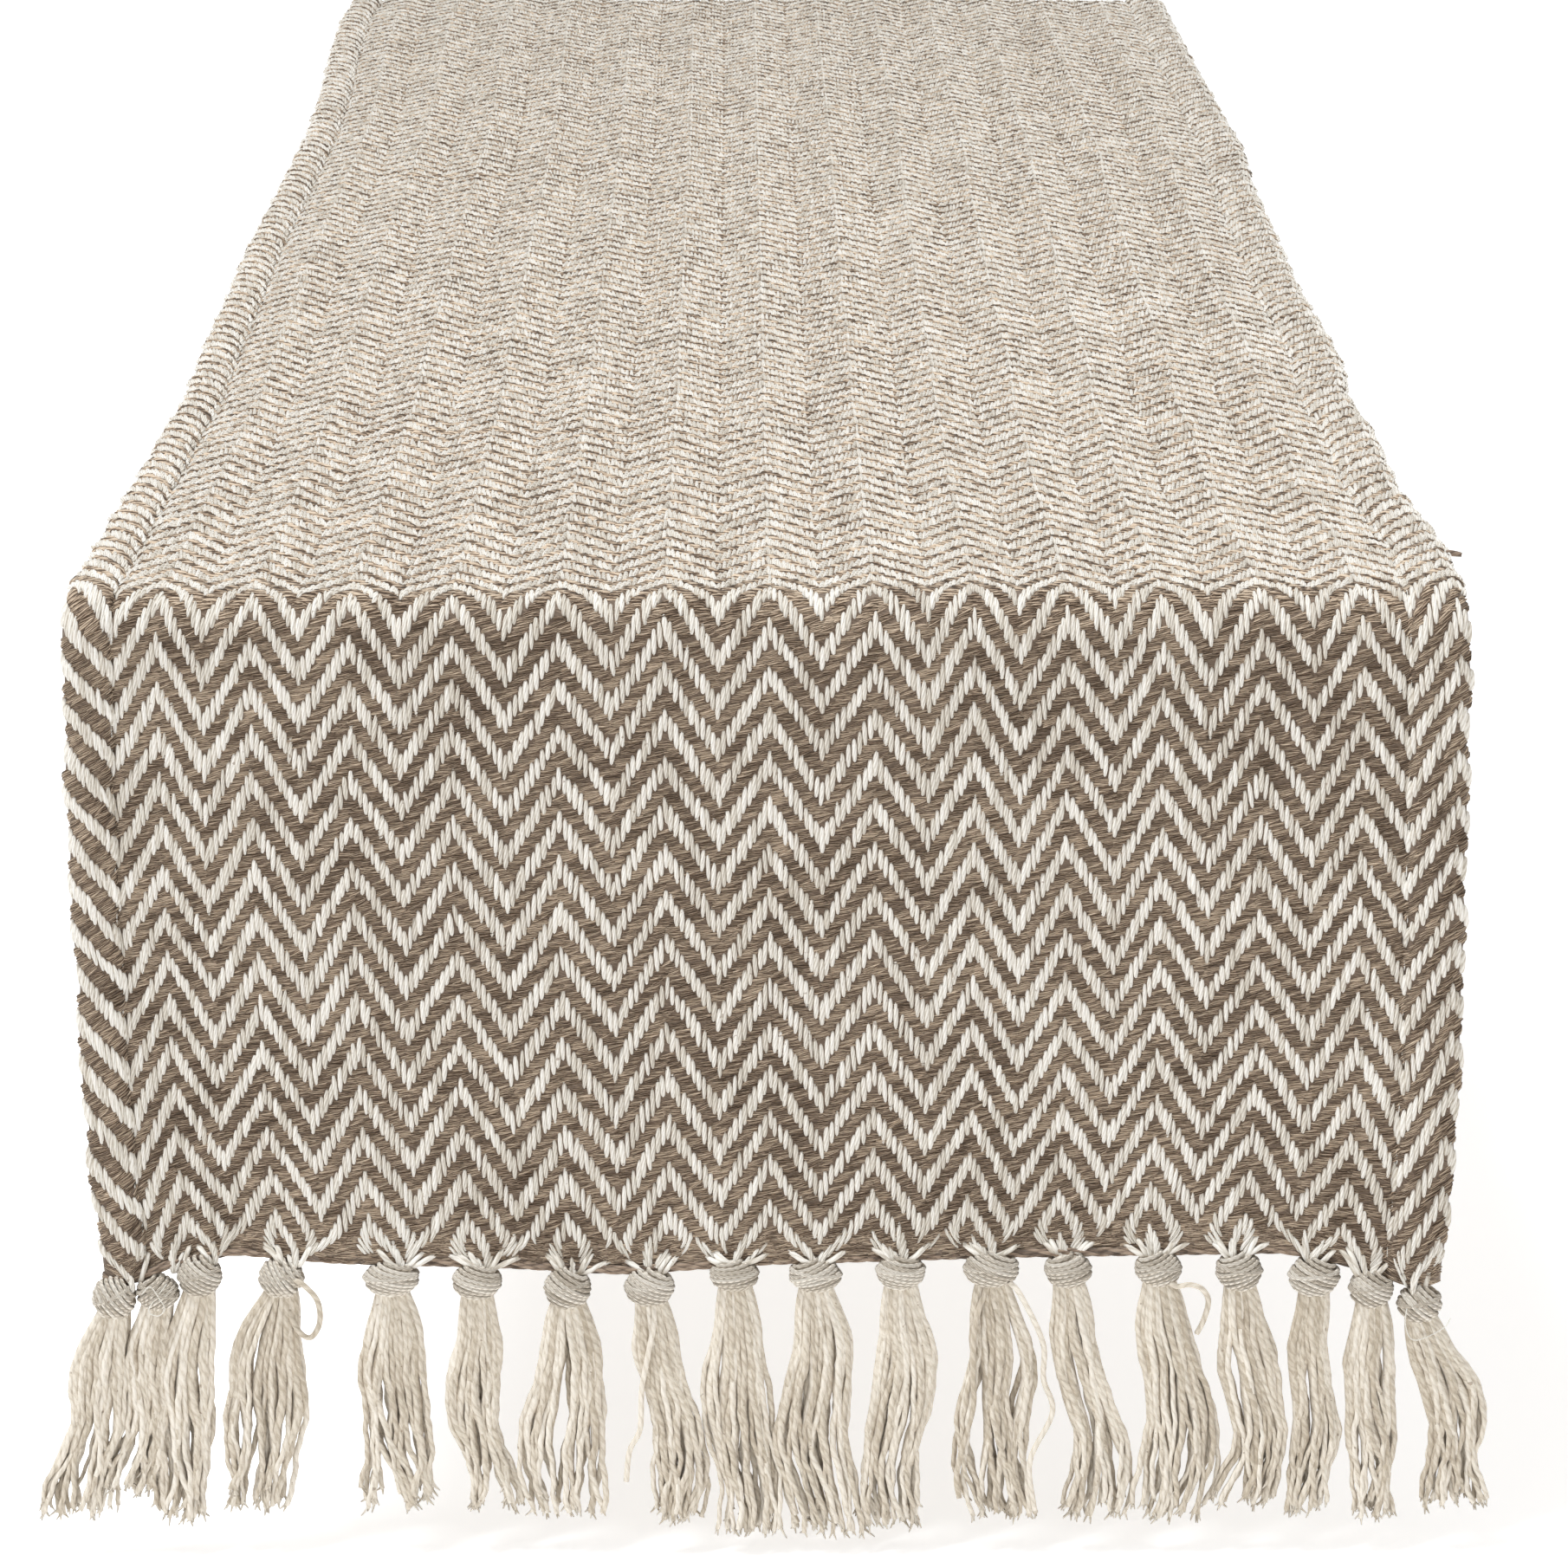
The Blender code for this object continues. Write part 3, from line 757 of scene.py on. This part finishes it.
def yarn_piece(name, bundles, material):
    """One piece from several lots of tubes."""
    shifts = np.concatenate(([0], np.cumsum([len(lot[0]) for lot in bundles])[:-1]))
    corners = np.concatenate([lot[1] + shift for lot, shift in zip(bundles, shifts)])
    points, sizes, uv, tint = (np.concatenate([lot[part] for lot in bundles]) for part in (0, 2, 3, 4))
    piece = new_piece(name, points, corners, sizes, uv, material)
    point_value(piece, "tint", tint)
    return piece


def stitches(start, stop, side, seed):
    """Running stitches along one seam: low arches whose two ends dip into the cloth."""
    rng = np.random.default_rng(seed)
    middles = np.arange(start + stitch_pitch / 2, stop - stitch_pitch / 2, stitch_pitch)
    share = np.linspace(-1.0, 1.0, 5)
    v = middles[:, None] + share * stitch_length / 2
    wobble = rng.normal(0.0, 0.00025, (len(middles), 1)) + share * rng.normal(0.0, 0.0002, (len(middles), 1))
    x, height, _, _ = section(np.full_like(v, left_seam if side < 0 else right_seam) + wobble)
    path = drape(x, v, height + 0.0012 * (1 - share**4) - 0.0004)
    return tubes(path, thread_radius, 4, upright=(1.0, 0.0, 0.0), seed=seed)


sewing_thread = yarn_material(
    "cream_sewing_thread", (0.62, 0.58, 0.50), (0.78, 0.75, 0.69), (0.86, 0.83, 0.78), 2.0, 0.00008
)
spans = {
    "front_drop": (-cloth_end + 0.004, -blend_reach),
    "top": (-blend_reach, blend_reach),
    "back_drop": (blend_reach, cloth_end - 0.004),
}
for number, (part, (start, stop)) in enumerate(spans.items()):
    lots = [stitches(start, stop, side, 50 + 2 * number + (side > 0)) for side in (-1, 1)]
    piece = yarn_piece(f"{part}_seam_stitches", lots, sewing_thread)
    if part == "top":
        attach(piece, "top")
    else:
        bends_with(piece)
    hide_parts(f"{part}_left_hem_thread", f"{part}_right_hem_thread")

# ------------------------------------------------------------
# Heading cord: the last thick wefts of each end, four plies laid up together, which bind the lower edge
# between the tassels.
# ------------------------------------------------------------
heading_radius = float(cord_high[2] - cord_low[2]) / 2
heading_plies = 4
ply_radius = heading_radius * 0.50
ply_turn = 0.021
dark_weft = yarn_material(
    "taupe_heading_cotton", (0.075, 0.050, 0.034), (0.185, 0.128, 0.090), (0.34, 0.25, 0.18), 0.5, 0.00025
)


def lower_edge(x, end):
    """Points on the middle line of a drop's lower edge, hanging as the cloth hangs there."""
    low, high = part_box("front_heading_cord" if end < 0 else "back_heading_cord")
    y = np.full_like(x, (low[1] + high[1]) / 2)
    z = (low[2] + high[2]) / 2 - slow_line(sag_places, sag_depths, -end * x) / 1000
    return np.stack((x, y, z), axis=-1)


for end_name, end in (("front", -1), ("back", 1)):
    reach = half_width - 0.0050
    x = np.linspace(-reach, reach, 260)
    lots = []
    for ply in range(heading_plies):
        turn = 2 * np.pi * (x / ply_turn + ply / heading_plies)
        path = lower_edge(x, end)
        path[:, 1] += 0.62 * heading_radius * np.cos(turn)
        path[:, 2] += 0.62 * heading_radius * np.sin(turn)
        lots.append(tubes(path[None], ply_radius, 6, seed=60 + ply))
    piece = yarn_piece(f"{end_name}_heading_yarns", lots, dark_weft)
    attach(piece, f"{end_name}_drop")
    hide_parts(f"{end_name}_heading_cord")

# ------------------------------------------------------------
# Tassels: the ends of the warp, tied in bundles, each in one overhand knot. The knot's wraps slant round
# it, and below it the yarns belly out and hang in wavy locks whose cut ends have frayed.
# ------------------------------------------------------------
# Each tassel from left to right: how far the knot's middle is below the straight edge, the knot's width
# and height, the slant of its wraps in degrees, half the skirt's width, how far the tips lean, and how
# far the tips are below the straight edge. Lengths in millimetres.
tassel_habits = (
    (8.7, 12.6, 12.0, -30, 11.4, -9.2, 73.0),
    (7.2, 12.4, 10.0, 24, 7.0, -6.0, 66.5),
    (2.4, 12.6, 11.4, -20, 10.0, -6.8, 74.0),
    (3.0, 13.0, 11.0, -32, 13.0, -8.0, 71.0),
    (3.2, 15.8, 9.8, -11, 13.2, 1.9, 71.0),
    (4.0, 14.2, 10.2, -10, 9.0, 0.8, 71.4),
    (6.2, 13.4, 11.4, -16, 13.0, 0.5, 72.5),
    (5.9, 14.2, 10.6, -15, 9.6, 7.5, 75.0),
    (2.3, 14.0, 9.0, 8, 10.8, 2.9, 79.0),
    (2.4, 15.0, 9.6, 15, 12.6, 1.3, 79.0),
    (1.6, 14.0, 9.8, -8, 10.2, -0.5, 77.0),
    (0.8, 15.8, 10.2, -15, 12.0, 2.2, 74.4),
    (1.2, 13.6, 9.8, 10, 9.6, 7.6, 74.4),
    (0.8, 13.4, 10.0, 16, 11.8, 6.0, 74.7),
    (1.6, 13.2, 11.2, 12, 9.6, 5.7, 70.4),
    (3.2, 14.6, 11.4, -14, 8.0, -0.7, 72.7),
    (6.8, 12.8, 11.0, -18, 9.2, 1.0, 74.2),
    (11.2, 12.8, 11.0, -24, 10.8, 12.4, 71.2),
)
knot_plump = 1.08
wrap_radius = 0.00064
wraps = 9
skirt_yarns = 26
skirt_radius = 0.00094
skirt_points = 36
waist_half = 0.0034
tassel_sway = 0.0021
tassel_cotton = yarn_material(
    "cream_tassel_cotton", (0.46, 0.385, 0.29), (0.66, 0.585, 0.48), (0.80, 0.735, 0.64), 0.55, 0.00022, 0.16
)
# Painted shade: the knots' cotton is the skirts' yarn taken darker, with deeper painted hollows between its
# plies, for the shade between the wraps.
knot_cotton = yarn_material(
    "cream_knot_cotton", (0.37, 0.31, 0.235), (0.59, 0.52, 0.43), (0.77, 0.71, 0.62), 1.1, 0.00028, 0.36
)


def knot_wraps(centre, width, height, tilt, rng):
    """Yarn wound round a ball: parallel circles of a ball, level from pole to pole, tipped together by the
    tilt and then stretched to the knot's width, depth and height, with one more crossing over them."""
    turn = 2 * np.pi * np.arange(22) / 22
    level = np.concatenate((np.linspace(-0.86, 0.86, wraps), (0.2,)))[:, None]
    slant = np.concatenate((np.full(wraps, 1.8 * tilt), (-0.7 * tilt,)))[:, None]
    slant = slant + rng.normal(0, 0.05, slant.shape)
    radius = (1 - level**2) ** 0.46 * (1 + rng.normal(0, 0.02, level.shape))
    across = radius * np.cos(turn) * np.cos(slant) - level * np.sin(slant)
    above = radius * np.cos(turn) * np.sin(slant) + level * np.cos(slant)
    across[-1] *= 1.04
    x = (width / 2 - wrap_radius) * across
    y = 0.0054 * radius * np.sin(turn)
    z = (height / 2 - wrap_radius) * above
    return np.stack((centre[0] + x, centre[1] + y, centre[2] + z), axis=-1)


def knot_core(centre, width, height):
    """The strands inside the wraps: one fat yarn across the knot's width, so that no light shows through."""
    share = np.linspace(-1.0, 1.0, 9)
    path = centre + np.stack((share * width * 0.42, 0 * share, 0 * share), axis=-1)
    radius = np.minimum(height, 0.0100) * 0.44 * np.sqrt(np.clip(1 - share**2 * 0.9, 0.02, 1))
    return tubes(path[None], radius[None], 10, seed=1)


def skirt_paths(centre, height, half, lean, drop, rng):
    """Yarns from the knot to their cut ends, in a front and a back layer. Sideways each goes from its place
    in the narrow waist to its place in the skirt as 1 - (1 - s)^4.6, leans and sways as a whole, waves with
    its lock, kinks by itself, and crosses a neighbour or two; the locks part towards their tips."""
    s = np.linspace(0.0, 1.0, skirt_points)
    across = np.linspace(-1, 1, skirt_yarns) + rng.normal(0, 0.03, skirt_yarns)
    locks = 5
    lock = np.floor((across + 1) / 2 * (locks - 0.001)).clip(0, locks - 1).astype(int)
    layer = np.where(np.arange(skirt_yarns) % 2 == 0, -1.0, 1.0) * rng.uniform(0.65, 1.0, skirt_yarns)
    swept = rng.normal(0, 1, locks)[lock]
    target = half * (0.74 * across + 0.05 * swept)
    flare = 1 - (1 - s) ** 4.6 + 0.22 * np.sin(np.pi * s) ** 2
    leaning = lean * (1 - (1 - s) ** 1.7)
    pace = rng.uniform(0.7, 1.7, locks)[lock][:, None]
    swing = rng.uniform(0, 2 * np.pi, locks)[lock][:, None]
    phase = rng.uniform(0, 2 * np.pi, (5, skirt_yarns, 1))
    grow = smooth(s * 3) * (0.4 + 0.6 * s)
    sway = rng.uniform(0.0, 2 * np.pi)
    wave = 0.0013 * np.sin(2 * np.pi * pace * s + swing)
    wave = wave + tassel_sway * np.sin(2 * np.pi * 0.95 * s + sway)
    wave = wave + 0.0008 * np.sin(2 * np.pi * 1.4 * s + phase[4])
    wave = wave + 0.00045 * np.sin(2 * np.pi * 3.5 * s + phase[0])
    wave = wave + 0.00022 * np.sin(2 * np.pi * 8.7 * s + phase[1])
    parting = 0.0016 * rng.normal(0, 1, locks)[lock] + 0.0010 * rng.normal(0, 1, skirt_yarns)
    wave = wave + parting[:, None] * smooth((s - 0.5) / 0.5)
    waist = waist_half * across
    x = centre[0] + waist[:, None] * (1 - flare) + target[:, None] * flare + leaning + wave * grow
    rounded = np.sqrt(np.clip(1 - (0.9 * across) ** 2, 0.05, 1))
    y = centre[1] + (layer * rounded)[:, None] * (0.0018 + 0.0004 * flare)
    in_and_out = 0.0006 * np.sin(2 * np.pi * 2.1 * s + phase[2])
    in_and_out = in_and_out + 0.0003 * np.sin(2 * np.pi * 6.1 * s + phase[3])
    y = y + grow * in_and_out
    top = centre[2] - 0.24 * height
    shorter = np.clip(np.abs(rng.normal(0.0, 0.045, skirt_yarns)), 0.0, 0.12)
    length = (top - (edge_level - drop)) * (1 - shorter)
    z = top - length[:, None] * s
    return np.stack((x, y, z), axis=-1)


def frayed_tips(paths, rng):
    """The cut end of each yarn comes apart into two thin plies that splay a little way past it."""
    tip, before = paths[:, -1], paths[:, -3]
    heading = tip - before
    heading = heading / np.maximum(np.linalg.norm(heading, axis=-1, keepdims=True), 1e-9)
    s = np.linspace(0.0, 1.0, 4)
    splay = rng.normal(0, 0.0009, (len(paths), 2, 3)) * np.array((1.0, 1.0, 0.0))
    reach = rng.uniform(0.0018, 0.0036, (len(paths), 2))
    line = tip[:, None, None] + heading[:, None, None] * (s[:, None] * reach[..., None, None] - 0.0012)
    line = line + splay[:, :, None] * (s**1.5)[:, None]
    return line.reshape(-1, 4, 3)


def knot_centre(end_name, index):
    """The middle of a tassel's knot: below the heading, a little proud of the cloth's own middle."""
    end = -1 if end_name == "front" else 1
    here = lower_edge(knots[end_name][index : index + 1], end)[0]
    return np.array((here[0], here[1] + end * 0.0012, edge_level - tassel_habits[index][0] / 1000))


def tassel(end_name, index, rng):
    """One tassel's yarn tubes: the knot's wraps and core, then the skirt's outer yarns, a few thicker ones
    that fill its middle, and the frayed tips. The far end is the near end turned half round, so its tassels
    lean the other way in x."""
    _, width, height, tilt, half, lean, drop = tassel_habits[index]
    facing = 1 if end_name == "front" else -1
    centre = knot_centre(end_name, index)
    metres = (value / 1000 for value in (width, knot_plump * height, half, lean, drop))
    width, height, half, lean, drop = metres
    loops = knot_wraps(centre, width, height, math.radians(facing * tilt), rng)
    skirt = skirt_paths(centre, height, half - skirt_radius, facing * lean, drop, rng)
    slimmer = 1 - 0.18 * np.linspace(0.0, 1.0, skirt_points)
    girth = skirt_radius * rng.normal(1.0, 0.10, (skirt_yarns, 1)) * slimmer
    tip_radius = np.array((0.00050, 0.00046, 0.00036, 0.00018))
    inner = skirt[2:-2:4, ::3].copy()
    inner[:, :, 1] = centre[1] + (inner[:, :, 1] - centre[1]) * 0.2
    inner_girth = 0.0017 * np.sin(np.pi * np.linspace(0.22, 0.93, inner.shape[1]))
    wound = tubes(loops, wrap_radius, 6, closed=True, upright=(0.0, 0.0, 1.0), seed=index)
    hanging = tubes(skirt, girth, 5, seed=100 + index)
    frayed = tubes(frayed_tips(skirt, rng), tip_radius[None], 3, seed=200 + index)
    filling = tubes(inner, inner_girth[None], 6, seed=300 + index)
    return [wound, knot_core(centre, width, height)], [hanging, filling, frayed]


for end_name, seed in (("front", 5), ("back", 6)):
    rng = np.random.default_rng(seed)
    for index in range(len(tassel_habits)):
        knot_lots, skirt_lots = tassel(end_name, index, rng)
        place = f"{end_name}_tassel_{index + 1:02d}"
        skirt_piece = yarn_piece(f"{end_name}_tassel_yarns_{index + 1:02d}", skirt_lots, tassel_cotton)
        knot_piece = yarn_piece(f"{end_name}_tassel_knot_{index + 1:02d}", knot_lots, knot_cotton)
        for piece in (skirt_piece, knot_piece):
            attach(piece, place)
        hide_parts(place)

# ------------------------------------------------------------
# Drawn ends: where a bundle was gathered from both sides, some of its warp runs slantwise out of the
# cloth, along the lower edge and over the heading cord, into the knot.
# ------------------------------------------------------------
drawn_radius = 0.00080
for end_name, end in (("front", -1), ("back", 1)):
    rng = np.random.default_rng(90 + end)
    paths = []
    for index, knot_x in enumerate(knots[end_name]):
        gap = np.sort(np.abs(knots[end_name] - knot_x))[1]
        knot_top = knot_centre(end_name, index)[2] + 0.35 * tassel_habits[index][2] / 1000
        for side in (-1, 1):
            for start, rise in ((0.0060, 0.0050), (0.0084, 0.0040), (0.0108, 0.0028)):
                chosen = rng.uniform() < 0.62
                begin = start * rng.uniform(0.82, 1.12)
                if begin > 0.6 * gap or not chosen:
                    continue
                share = np.linspace(0.0, 1.0, 8)
                aside = side * (begin * (1 - share) + 0.0026 * rng.uniform(0.4, 1.2) * share)
                level = weft_level - 0.0014 + 0.0030 * np.sin(np.pi * 0.70 * share)
                v = end * (cloth_end - 0.0002 - rise * rng.uniform(0.8, 1.2) * (1 - share) ** 1.15)
                path = drape(knot_x + aside, v, level)
                path[:, 2] += (knot_top - path[-1, 2]) * smooth(share * 1.6 - 0.6)
                paths.append(path)
    lot = tubes(np.array(paths), drawn_radius, 5, seed=92 + end)
    piece = yarn_piece(f"{end_name}_drawn_ends", [lot], warp_cotton)
    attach(piece, f"{end_name}_drop")

# ------------------------------------------------------------
# Loose ends at the near edge: yarns that slipped out of their knots as loops or hang apart from the rest,
# and two cut tails of the hem's sewing thread, each on a route of its own.
# ------------------------------------------------------------
# Each route's knot number, its kind, and its points in millimetres: right of the knot, above and before it.
loose_routes = (
    (2, "thread", (
        (-4, 1, 5), (-1.5, 3.5, 6), (1, 0.5, 7), (2.5, -2.5, 7), (0.5, -5, 6), (-2, -3, 6), (3, 4, 5),
    )),
    (4, "yarn", (
        (3, 1, 4), (6.3, -0.8, 4), (10.1, -5.8, 3), (10.6, -12.6, 2), (8, -17, 2),
        (4.6, -15, 2), (1.8, -9, 2),
    )),
    (8, "yarn", (
        (1.2, -4, 2), (1.2, -10, 3), (-0.6, -20, 3), (-2.3, -30, 2), (-2.8, -41, 3),
        (-5.8, -48, 2), (-6.8, -57, 2),
    )),
    (12, "yarn", (
        (-1, -4, 2), (-4.4, -15, 3), (-5, -29, 3), (-4.8, -40, 2), (-7.7, -52, 2),
        (-9.4, -61, 2), (-8.6, -67, 3),
    )),
    (12, "yarn", (
        (5, -3, 3), (8.3, -7, 4), (14.5, -21, 3), (14.8, -32, 2), (17.4, -42, 2),
        (11.2, -56, 3), (12.6, -71, 2),
    )),
    (14, "yarn", (
        (3, -3, 4), (5.3, -4.1, 4), (8.5, -3.6, 4), (12.1, -5.2, 3), (14, -9.1, 2),
        (12.8, -14.6, 2), (11, -19, 1),
    )),
    (18, "thread", (
        (-4, 0, 5), (-4.4, -4.1, 5), (-3.1, -8.6, 4), (-1, -9.7, 4), (3, -8.2, 4),
        (6.8, -5.8, 4), (8.5, -3.6, 3),
    )),
)


def flowing(points, count):
    """A smooth curve through chosen points: each coordinate is a cubic between them whose slope at a point
    is the line through its two neighbours."""
    points = np.array(points, float)
    slopes = np.gradient(points, axis=0)
    place = np.linspace(0, len(points) - 1, count)
    start = np.minimum(place.astype(int), len(points) - 2)
    s = (place - start)[:, None]
    before, after = points[start], points[start + 1]
    leave, arrive = slopes[start], slopes[start + 1]
    blend_in = 3 * s**2 - 2 * s**3
    return before * (1 - blend_in) + after * blend_in + leave * (s**3 - 2 * s**2 + s) + arrive * (s**3 - s**2)


for place, (number, kind, route) in enumerate(loose_routes):
    right, above, forward = flowing(route, 44).T / 1000
    path = knot_centre("front", number - 1) + np.stack((right, -forward, above), axis=-1)
    radius, material, slot = {
        "thread": (thread_radius, sewing_thread, "cream_thread"),
        "yarn": (skirt_radius * 0.85, tassel_cotton, "cream_warp_yarn"),
    }[kind]
    lot = tubes(path[None], radius, 6, seed=80 + place)
    piece = yarn_piece(f"front_loose_end_{place + 1}", [lot], material)
    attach(piece, f"front_tassel_{number:02d}")

# ------------------------------------------------------------
# Weft tail: a loose end of the taupe weft yarn that was left sticking out of the right hem, a little way
# behind the near edge of the table.
# ------------------------------------------------------------
tail_low, tail_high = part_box("right_weft_tail")
share = np.linspace(0.0, 1.0, 9)
tail_path = np.stack((
    tail_low[0] - 0.004 + (tail_high[0] - tail_low[0] + 0.004) * share,
    tail_high[1] - 0.0008 - 0.0016 * share,
    (tail_low[2] + tail_high[2]) / 2 + 0.0004 * np.sin(3 * share),
), axis=-1)
tail_lot = tubes(tail_path[None], 0.0010 * (1 - 0.35 * share[None] ** 4), 8, seed=71)
weft_tail = yarn_piece("loose_weft_tail", [tail_lot], dark_weft)
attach(weft_tail, "top")
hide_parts("right_weft_tail")

# ------------------------------------------------------------
# Cut sizes: each half of the cloth is one flat length of twill that bends over the table's edge, with
# its floats, stitches, heading and tassels on it. The boxes of both models are kept for comparison.
# ------------------------------------------------------------
for end_name, piece in ground.items():
    sewn_on = ("drop_warp", "drop_weft", "drop_seam_stitches", "heading_yarns")
    with_it = [bpy.data.objects[f"{end_name}_{part}"] for part in sewn_on]
    fringe = [thing for thing in bpy.data.objects if thing.name.startswith(f"{end_name}_tassel_")]
    with_it += [thing for thing in fringe if thing.data.uv_layers]
